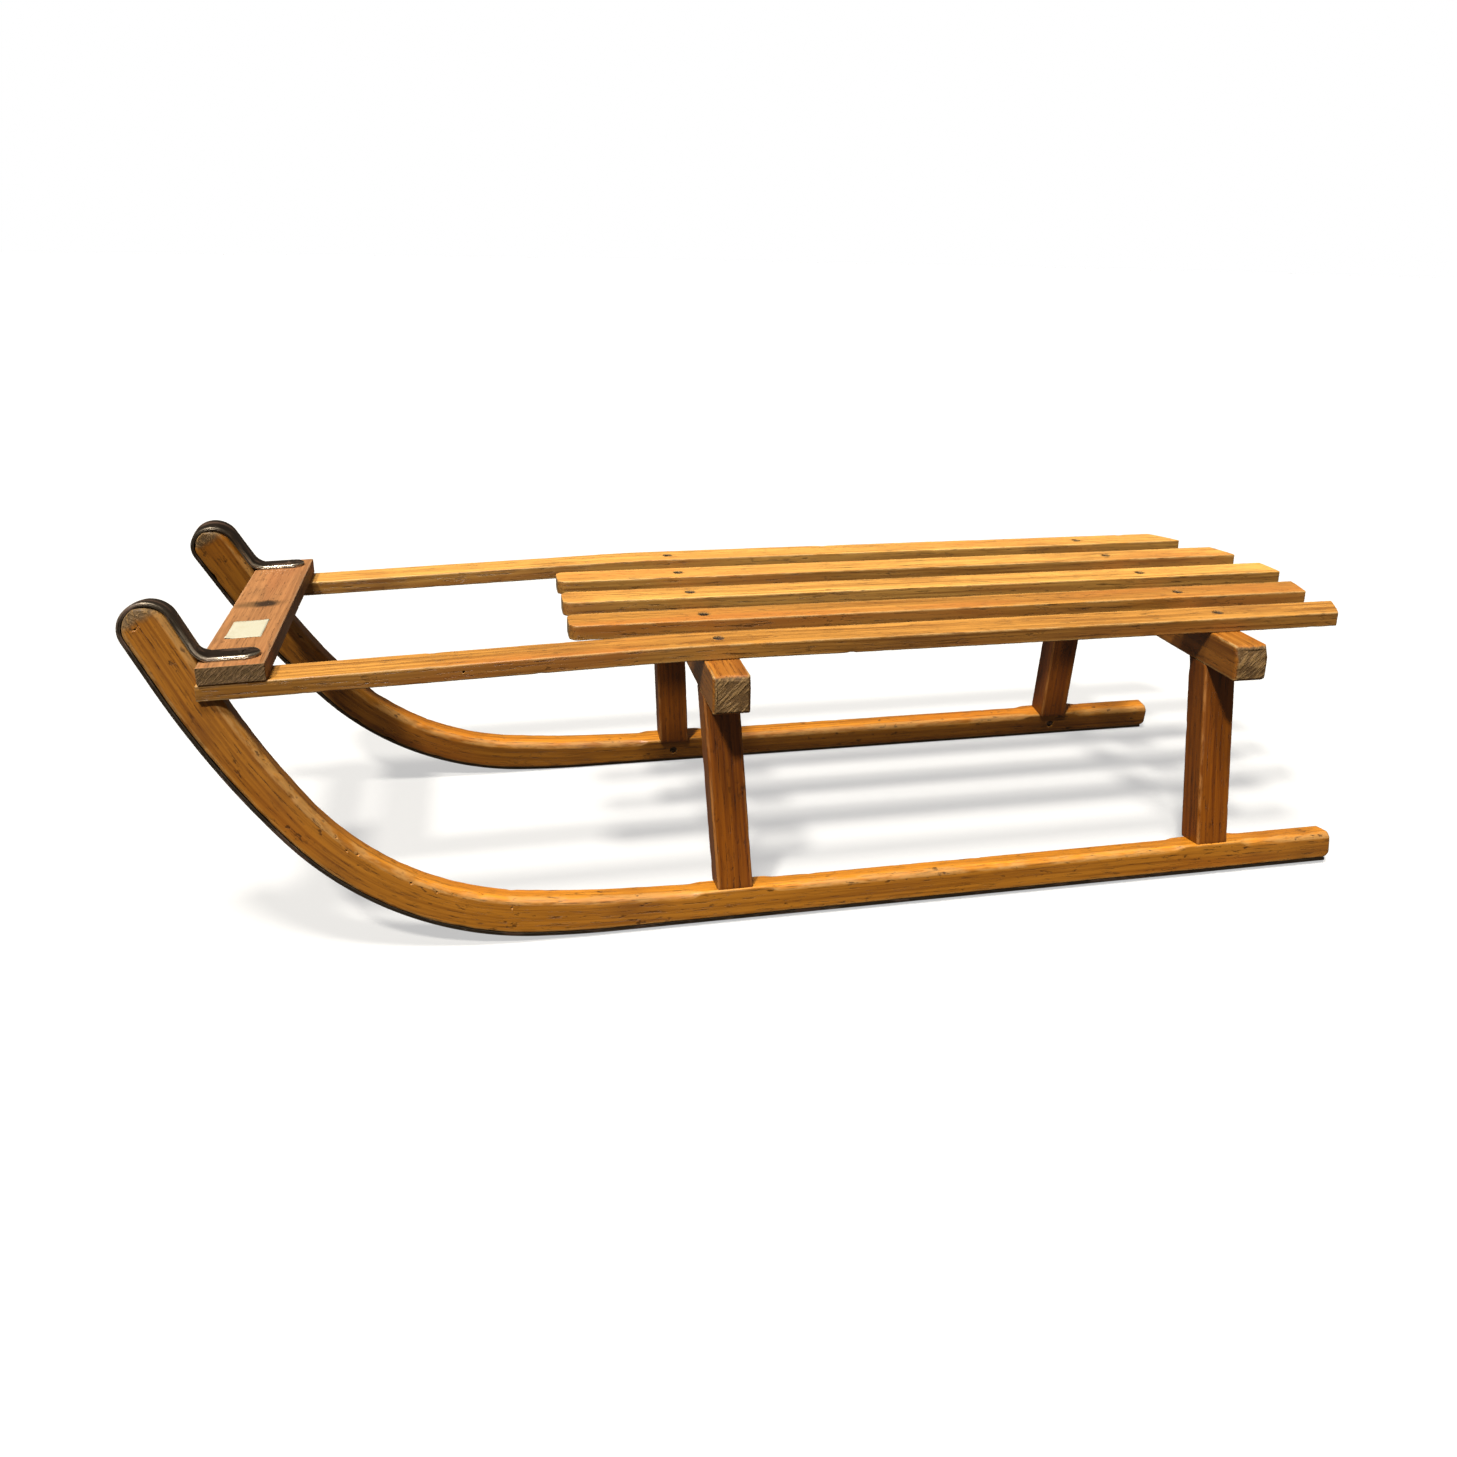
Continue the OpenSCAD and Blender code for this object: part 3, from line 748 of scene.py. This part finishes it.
def crossbar(end, material):
    name = "crossbar_front" if end > 0 else "crossbar_rear"
    mid = middle(name)

    def knocked(a, b):
        """The upper edge of each end is knocked back, more in one place than in another."""
        uneven = 1 + 0.25 * np.sin(a * 190 + end)
        return 3.4 * mm * smoothstep(b, 0.1 * BAR_H, 0.5 * BAR_H) * uneven

    piece = beam(name + "_wood", mid, (0, 1, 0), (1, 0, 0), (0, 0, 1), BAR_W / 2, BAR_H / 2,
                 -BAR_LEN / 2, BAR_LEN / 2, 30.0 + end, 1.4 * mm, (3 * mm, 3 * mm),
                 skew_start=knocked, skew_end=lambda a, b: -knocked(a, b), chips=1.6 * mm,
                 end_flat=0.7)
    return finish_piece(piece, "bar_wood", material, name)


def slat(node, material):
    y = SLAT_YS[node]
    outer = "outer" in node
    front = SLAT_TIP_X if outer else NOSE_X
    seed = 40.0 + 7 * list(SLAT_YS).index(node)

    def curve(across):
        return TAIL_R - np.sqrt(TAIL_R**2 - across**2)

    def tail(a, b):
        """The rear ends follow a curve, whose hindmost point on this slat is its start."""
        return curve(y + a) - curve(max(abs(y) - SLAT_W / 2, 0))

    def rounded(x):
        into = np.clip(x - (front - SLAT_NOSE_R), 0, SLAT_NOSE_R)
        return SLAT_W / 2 - SLAT_NOSE_R + np.sqrt(SLAT_NOSE_R**2 - into**2)

    piece = beam(node + "_wood", (0, y, SEAT_H - SLAT_T / 2), (1, 0, 0), (0, 1, 0), (0, 0, 1),
                 SLAT_W / 2, SLAT_T / 2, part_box(node)[0].x, front, seed, 1.1 * mm,
                 (0.8 * mm, 0.9 * mm),
                 bend=(lambda x: -slat_drop(x)) if outer else None,
                 width_at=None if outer else rounded, skew_start=tail, chips=1.2 * mm)
    holes = [((x, y, SEAT_H), (0, 0, 1), 5.3 * mm, 4.7 * mm, 1.7 * mm)
             for x in (BAR_FRONT.x, BAR_REAR.x)]
    if node == "slat_outer_left":
        nail = (BAR_FRONT.x + 215 * mm, y + SLAT_W / 2, SEAT_H - 12 * mm)
        holes.append((nail, (0, 1, 0), 1.1 * mm, 0.5 * mm, 3 * mm))
    drill(piece, holes)
    return finish_piece(piece, "slat_wood", material, node)


# ---- the front board and what lies on it ----


def board_axes():
    """Origin (middle of the front edge, at the board's underside), forward and up directions."""
    forward = np.array([math.cos(DIP), 0, -math.sin(DIP)])
    up = np.array([math.sin(DIP), 0, math.cos(DIP)])
    front_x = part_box("front_board")[1].x - BOARD_T * math.sin(DIP)
    return np.array([front_x, 0, SEAT_H - slat_drop(np.array(front_x))]), forward, up


BOARD_AT, BOARD_FORWARD, BOARD_UP = board_axes()


def on_board(x, y, z):
    x, y, z = (np.asarray(q, float)[..., None] for q in (x, y, z))
    return BOARD_AT + x * BOARD_FORWARD + y * np.array([0, 1.0, 0]) + z * BOARD_UP


TONGUE_Y = (TRACK_HALF - (on_board(0, 0, BOARD_T)[2] - LIFT) * math.tan(SPLAY)
            - RUNNER_T / 2 / math.cos(SPLAY))
TURN_REACH = 8 * mm             # how far the strip's turn reaches over the board
BOLT_X = -34 * mm              # the tongue's bolt, from the board's front edge
BOARD_SEED = 71.0


def front_board(material):
    origin = on_board(-BOARD_W / 2, 0, BOARD_T / 2)
    piece = beam("front_board_wood", origin, (0, 1, 0), BOARD_FORWARD, BOARD_UP, BOARD_W / 2,
                 BOARD_T / 2, -BOARD_LEN / 2, BOARD_LEN / 2, BOARD_SEED, 0.9 * mm,
                 (0.7 * mm, 0.7 * mm), chips=1.3 * mm, waves=0.2 * mm)
    return finish_piece(piece, "board_wood", material, "front_board")


def paper_label(material):
    nx, ny = 14, 20
    corner_x, corner_y = -39 * mm, 44 * mm
    length, width, thick = 46.5 * mm, 29 * mm, 0.14 * mm
    x = np.linspace(corner_x, corner_x + width, nx + 1)
    y = np.linspace(corner_y, corner_y + length, ny + 1)
    gx, gy = np.meshgrid(x, y, indexing="ij")
    su, sv = (gx - corner_x) / width, (gy - corner_y) / length
    curl = (0.9 * mm * smoothstep(su + sv, 1.72, 2.0)
            + 0.5 * mm * smoothstep(1 - su + 1 - sv, 1.8, 2.0))
    wave = 0.05 * mm * (1 + np.sin(9 * su + 5 * sv))
    sheets = [on_board(gx, gy, BOARD_T + 0.03 * mm + curl + wave + t) for t in (0, thick)]
    points = np.concatenate([p.reshape(-1, 3) for p in sheets])
    row, layer = ny + 1, (nx + 1) * (ny + 1)
    faces = []
    for i in range(nx):
        for j in range(ny):
            k = i * row + j
            faces.append((k, k + row, k + row + 1, k + 1))
            faces.append((layer + k, layer + k + 1, layer + k + row + 1, layer + k + row))
    rim = ([i * row for i in range(nx)] + [nx * row + j for j in range(ny)]
           + [i * row + ny for i in range(nx, 0, -1)] + list(range(ny, 0, -1)))
    faces += [(a, b, layer + b, layer + a) for a, b in zip(rim, rim[1:] + rim[:1])]
    mesh = make_mesh("paper_label_sheet", points, faces, (), points,
                     np.full(len(points), 5 * mm), np.zeros(len(points)))
    piece = new_object("paper_label_sheet", mesh)
    return finish_piece(piece, "paper", material, "paper_label")


# ---- steel ----


def strip(side, material):
    """The strip: under the runner, round the horn's tip, down its back and onto the board."""
    stations = []

    def add(place, outward, across=side.out, half_w=STRIP_W / 2):
        stations.append((place, outward, across, half_w))

    def in_side(u, v):
        return side.at(u, -RUNNER_T / 2, v)

    for u, v, angle, _ in lower_line(3.5 * mm, HEEL_X + 4 * mm):
        add(in_side(u, v), side.turned(*-up_normal(angle)))
    tip_steps = 32
    for k in range(1, tip_steps + 1):
        normal = -up_normal(HORN + math.pi * k / tip_steps)
        add(in_side(*(TIP_MID + HORN_DEPTH / 2 * normal)), side.turned(*normal))

    # Down the horn's back, as far as the turn onto the board.
    tip_back = TIP_FRONT + HORN_DEPTH * up_normal(HORN)
    seat_z = on_board(0, 0, BOARD_T)[2]
    seat_v = (seat_z - LIFT + (RUNNER_T + STRIP_W) / 2 * math.sin(SPLAY)) / math.cos(SPLAY)
    corner = np.array([tip_back[0] - (tip_back[1] - seat_v) / math.tan(HORN), seat_v])
    turn_start = corner + TURN_R * math.tan(HORN / 2) * along(HORN)
    for u, v in np.linspace(tip_back, turn_start, 14)[1:]:
        add(in_side(u, v), side.turned(*up_normal(HORN)))

    # The turn, in which the strip also twists out of the splay and becomes level.
    turn_mid = turn_start + TURN_R * up_normal(HORN)
    level = np.array([0, side.sign, 0])
    tongue_start = on_board(-TURN_REACH, side.sign * TONGUE_Y, BOARD_T)
    turn_end = in_side(*(turn_mid - TURN_R * up_normal(0)))
    turn_steps = 18
    for k in range(1, turn_steps + 1):
        share = k / turn_steps
        blend = smoothstep(share, 0, 1)
        normal = up_normal(HORN * (1 - share))
        place = in_side(*(turn_mid - TURN_R * normal)) + share**2 * (tongue_start - turn_end)
        on_top = normal[0] * BOARD_FORWARD + normal[1] * BOARD_UP
        add(place, (1 - blend) * side.turned(*normal) + blend * on_top,
            (1 - blend) * side.out + blend * level)

    # The tongue, with a round end.
    first = stations[-1][0]
    flat_end = TONGUE_LEN - TURN_REACH - STRIP_W / 2
    round_end = flat_end + STRIP_W / 2 * np.sin(np.radians(np.linspace(6, 87, 14)))
    for d in [*np.linspace(2 * mm, flat_end, 10), *round_end]:
        into = max(0.0, d - flat_end)
        half_w = math.sqrt(max((STRIP_W / 2)**2 - into**2, (0.8 * mm)**2))
        add(first - d * BOARD_FORWARD, BOARD_UP, level, half_w)
    centre, outward, across, width = (np.array(x, float) for x in zip(*stations))
    run = np.concatenate([[0], np.cumsum(np.linalg.norm(np.diff(centre, axis=0), axis=1))])

    # Thinner towards the tongue's end, with soft edges and a slight crown.
    thick = STRIP_T * (1 - 0.25 * smoothstep(run, run[-1] - 6 * mm, run[-1]))
    outer_r, inner_r = np.minimum(1.5 * mm, 0.45 * thick), np.minimum(0.4 * mm, 0.3 * width)
    radius = np.minimum(np.stack([inner_r, outer_r, outer_r, inner_r], 1), 0.9 * width[:, None])
    a, b, na, nb, edge = rings(width, np.zeros_like(run), thick, radius)
    crown = np.clip(1 - (a / (STRIP_W / 2))**2, 0, 1)
    b = b - (b > thick[:, None] * 0.5) * 0.45 * mm * (1 - crown)
    s = per_point(run, a)
    a, b = wear(s, a, b, na, nb, edge, 90.0 + side.sign, waves=0.12 * mm, chips=0.25 * mm)
    points = centre[:, None] + a[..., None] * across[:, None] + b[..., None] * outward[:, None]
    grain = np.stack([s, a, b], -1)
    # Rubbed bright towards the tongue's end, where the bright edges also stand in for a painted
    # highlight.
    rubbed_and_highlight = smoothstep(run, run[-1] - 85 * mm, run[-1] - 50 * mm)
    piece = skin(f"steel_strip_{side.name}_bar", points, grain, edge, per_point(rubbed_and_highlight, a))
    return finish_piece(piece, "strip_steel", material, f"steel_strip_{side.name}")


SLOT_W, SLOT_DEPTH = 1.1 * mm, 0.9 * mm


def slotted_head(place, axis, turn, r, dome, shank_r, shank):
    """A slotted screw head with its rim at place, and its shank below. A grid of columns is
    fitted to the disc so that the slot's walls are straight."""
    turned = Vector(axis).to_track_quat("Z", "Y").to_matrix() @ Matrix.Rotation(turn, 3, "Z")
    half = SLOT_W / 2
    cols = [-math.cos(math.radians(t)) * r for t in (4, 25, 45, 62)] + [-half, -half * 0.9]
    cols = cols + [0.0] + [-c for c in reversed(cols)]
    lines = np.linspace(-1, 1, 15)
    points, faces = [], []
    for x in cols:
        reach = math.sqrt(r * r - x * x)
        for q in lines:
            y = q * reach
            z = dome * (1 - (x * x + y * y) / (r * r))
            if abs(x) < half * 0.95:
                z -= SLOT_DEPTH
            points.append((x, y, z))
    n, m = len(cols), len(lines)
    faces += [(i * m + j, (i + 1) * m + j, (i + 1) * m + j + 1, i * m + j + 1)
              for i in range(n - 1) for j in range(m - 1)]
    rim = ([i * m for i in range(n)] + [(n - 1) * m + j for j in range(1, m)]
           + [i * m + m - 1 for i in range(n - 2, -1, -1)] + [j for j in range(m - 2, 0, -1)])
    neck = -0.9 * mm - (r - shank_r) * 0.7
    rings_below = ((1.0, -0.5 * mm), (0.97, -0.9 * mm), (shank_r / r, neck), (shank_r / r, -shank))
    before = rim
    for scale, z in rings_below:
        now = []
        for k in rim:
            x, y, _ = points[k]
            length = math.hypot(x, y)
            now.append(len(points))
            points.append((x / length * r * scale, y / length * r * scale, z))
        faces += [(before[k], before[(k + 1) % len(rim)], now[(k + 1) % len(rim)], now[k])
                  for k in range(len(rim))]
        before = now
    faces.append(tuple(before))
    moved = [Vector(place) + turned @ Vector(p) for p in points]
    edge = [max(0.0, r - math.hypot(p[0], p[1])) for p in points]
    return moved, faces, points, edge


def screws(node, places, material, r, dome, shank_r=2 * mm, shank=12 * mm):
    """One piece of several screws, each (place, axis, turn of the slot)."""
    points, faces, local, edge = [], [], [], []
    for place, axis, turn in places:
        more, sides, grain, rim = slotted_head(place, axis, turn, r, dome, shank_r, shank)
        faces += [tuple(len(points) + i for i in f) for f in sides]
        points += more
        local += [Vector(g) + Vector(place) for g in grain]
        edge += rim
    mesh = make_mesh(node + "_heads", np.array(points), faces, range(len(faces)), np.array(local),
                     edge, np.zeros(len(points)))
    piece = new_object(node + "_heads", mesh)
    return finish_piece(piece, "screw_steel", material, node)


def seat_screws(end, material):
    x = (BAR_FRONT if end > 0 else BAR_REAR).x
    turns = (0.5, 1.9, -0.4, 1.1, 2.6) if end > 0 else (1.4, 0.3, 2.2, -0.6, 0.9)
    places = [((x, y, SEAT_H - 1.3 * mm), (0, 0, 1), t) for y, t in zip(SLAT_YS.values(), turns)]
    node = "seat_screws_front" if end > 0 else "seat_screws_rear"
    return screws(node, places, material, 4.5 * mm, 0.5 * mm, shank=28 * mm)


def leg_screws(side, material):
    places = [(side.at(foot_x(e), -RUNNER_T + 1.5 * mm, LEG_SCREW_V), -side.out, 0.7 * e + 0.4)
              for e in (1, -1)]
    return screws(f"leg_screws_{side.name}", places, material, 3.9 * mm, 0.4 * mm)


def strip_screws(side, material):
    sunk, middle_w = STRIP_T - 0.35 * mm, -RUNNER_T / 2
    places = [(side.at(MID_X + u * mm, middle_w, -sunk), -side.up, 0.6 * k + 0.2)
              for k, u in enumerate((-330, -120, 110, 300))]
    u, v = TIP_FRONT - 26 * mm * along(HORN) - sunk * up_normal(HORN)
    places.append((side.at(u, middle_w, v), side.turned(*-up_normal(HORN)), 0.9))
    return screws(f"strip_screws_{side.name}", places, material, 3.5 * mm, 0.35 * mm,
                  shank_r=1.8 * mm)


def tongue_bolts(material):
    top = BOARD_T + STRIP_T - 0.1 * mm
    places = [(on_board(BOLT_X, s * TONGUE_Y, top), BOARD_UP, 0.5 * s + 0.8) for s in (1, -1)]
    return screws("tongue_bolts", places, material, 4.8 * mm, 0.9 * mm, shank_r=2.5 * mm,
                  shank=38.5 * mm)


def tongue_nuts(material):
    """Two hexagonal nuts with a hole for the bolt and chamfered corners."""
    flat_r, hole_r, high, cut = 3.85 * mm, 2.6 * mm, 3.9 * mm, 0.5 * mm
    n = 48
    profile = (("hole", cut / 2), ("rim", 0), ("side", cut), ("side", high - cut), ("rim", high),
               ("hole", high - cut / 2))
    points, faces, local, edge = [], [], [], []
    for s in (1, -1):
        first = len(points)
        base = on_board(BOLT_X, s * TONGUE_Y, 0.05 * mm - SLAT_T - high)
        for part, h in profile:
            for k in range(n):
                turn = 2 * math.pi * (k + 0.5) / n
                side_r = flat_r / math.cos(turn % (math.pi / 3) - math.pi / 6)
                r = {"hole": hole_r, "rim": min(side_r, flat_r * 1.06), "side": side_r}[part]
                x, y = r * math.cos(turn), r * math.sin(turn)
                points.append(base + x * BOARD_FORWARD + y * np.array([0, 1, 0]) + h * BOARD_UP)
                local.append((h + 0.1 * s, x, y))
                edge.append(max(0.0, side_r - r))
        for j in range(len(profile)):
            a, b = first + j * n, first + (j + 1) % len(profile) * n
            faces += [(a + k, a + (k + 1) % n, b + (k + 1) % n, b + k) for k in range(n)]
    mesh = make_mesh("tongue_nuts_hex", np.array(points), faces, range(len(faces)),
                     np.array(local), edge, np.zeros(len(points)))
    piece = new_object("tongue_nuts_hex", mesh)
    return finish_piece(piece, "screw_steel", material, "tongue_nuts")


# ---- floor and light ----


def stage_object(name, mesh, colour, glow):
    """A pale part of the studio that the camera sees, and that throws no light on the sled."""
    mesh.materials.append(Graph(name).shade({
        "Base Color": (colour, colour, colour), "Emission Color": (1, 1, 1),
        "Emission Strength": glow, "Roughness": 0.9, "Specular IOR Level": 0.0}))
    made = new_object(name, mesh)
    made.visible_diffuse = False
    made.visible_glossy = False
    return made


def make_floor():
    mesh = bpy.data.meshes.new("floor")
    reach = 30.0
    corners = [(x * reach, y * reach, 0) for x, y in ((-1, -1), (1, -1), (1, 1), (-1, 1))]
    mesh.from_pydata(corners, [], [(0, 1, 2, 3)])
    stage_object("floor", mesh, 0.24, 0.52)


def make_backdrop():
    """A white sphere round it all, a little smaller than the floor."""
    mesh = bpy.data.meshes.new("backdrop")
    work = bmesh.new()
    bmesh.ops.create_icosphere(work, subdivisions=4, radius=28.0)
    work.to_mesh(mesh)
    work.free()
    stage_object("backdrop", mesh, 0.0, 1.0).visible_shadow = False


def sun(name, direction, energy, softness):
    data = bpy.data.lights.new(name, "SUN")
    data.energy, data.angle, data.color = energy, math.radians(softness), (1.0, 0.96, 0.88)
    lamp = new_object(name, data)
    lamp.rotation_mode = "QUATERNION"
    lamp.rotation_quaternion = Vector(direction).to_track_quat("Z", "Y")


def make_light():
    """Two suns close together, whose double shadows lie on the legs, and a dim warm sky."""
    sun("key", (0.43, 0.61, 1.0), 4.6, 5)
    sun("second", (0.17, 0.26, 1.0), 4.4, 9)
    world = bpy.data.worlds.new("world")
    bpy.context.scene.world = world
    world.use_nodes = True
    back = world.node_tree.nodes["Background"]
    back.inputs["Color"].default_value = (1, 0.80, 0.60, 1)
    back.inputs["Strength"].default_value = 0.18


# ---- the sled ----

# top is the factor by which faces that look up are painted lighter, as painted light from above
# Colours in the order light, dark, deep, pale (rubbed edges), end grain
runner_wood = wood(
    "runner_wood", (0.255, 0.098, 0.008), (0.120, 0.038, 0.002), (0.06, 0.016, 0.001),
    (0.33, 0.18, 0.05), (0.14, 0.085, 0.036), ring_gap=4.0 * mm, figure=0.35, pores=0.7,
    dirt=0.75, top=1.95)
leg_wood = wood(
    "leg_wood", (0.175, 0.050, 0.002), (0.080, 0.018, 0.0008), (0.045, 0.008, 0.0004),
    (0.30, 0.13, 0.03), (0.20, 0.11, 0.04), ring_gap=5.0 * mm, figure=0.5, pores=0.7)
bar_wood = wood(
    "bar_wood", (0.21, 0.079, 0.010), (0.10, 0.031, 0.003), (0.06, 0.015, 0.001),
    (0.36, 0.22, 0.08), (0.098, 0.050, 0.013), ring_gap=3.4 * mm, figure=0.5, pores=0.6,
    edge_wear=0.8, top=1.7, saw_gap=2.6 * mm)
slat_wood = wood(
    "slat_wood", (0.235, 0.108, 0.020), (0.098, 0.036, 0.004), (0.06, 0.018, 0.0015),
    (0.36, 0.22, 0.08), (0.17, 0.10, 0.035), ring_gap=3.6 * mm, figure=0.5, pores=0.75,
    top=1.9, red=0.7)
golden_wood = wood(
    "golden_wood", (0.29, 0.150, 0.033), (0.125, 0.050, 0.008), (0.08, 0.026, 0.003),
    (0.40, 0.25, 0.09), (0.19, 0.11, 0.04), ring_gap=3.9 * mm, figure=0.45, pores=0.75,
    red=0.6, top=2.15)
KNOT_AT = pith(BOARD_SEED) + np.array([-6 * mm, -3 * mm, BOARD_T / 2])
board_wood = wood(
    "board_wood", (0.210, 0.094, 0.033), (0.125, 0.053, 0.018), (0.060, 0.026, 0.008),
    (0.24, 0.14, 0.07), (0.105, 0.060, 0.020), ring_gap=5.0 * mm, figure=0.6, pores=0.5,
    rough=0.55, coat=0.0, saw_gap=1.1 * mm, knot=(tuple(KNOT_AT), 14 * mm))

# Colours in the order patina, bright (rubbed edges, partly a painted highlight), rust
strip_steel = steel("strip_steel", (0.022, 0.015, 0.010), (0.40, 0.35, 0.27),
                    (0.065, 0.030, 0.016), shine=0.85, rust_share=0.6)
screw_steel = steel("screw_steel", (0.040, 0.030, 0.022), (0.26, 0.22, 0.17),
                    (0.070, 0.032, 0.018), shine=0.35, rust_share=0.8)
slat_woods = dict.fromkeys(SLAT_YS, golden_wood)
slat_woods.update(slat_outer_left=slat_wood, slat_inner_left=slat_wood)

for side in (LEFT, RIGHT):
    runner(side, runner_wood)
    strip(side, strip_steel)
    for end in (1, -1):
        leg(side, end, leg_wood)
    leg_screws(side, screw_steel)
    strip_screws(side, screw_steel)
for end in (1, -1):
    crossbar(end, bar_wood)
    seat_screws(end, screw_steel)
for node in SLAT_YS:
    slat(node, slat_woods[node])
front_board(board_wood)
tongue_bolts(screw_steel)
tongue_nuts(screw_steel)
paper_label(paper("paper"))
make_floor()
make_backdrop()
make_light()
bpy.context.scene.view_settings.view_transform = "Standard"
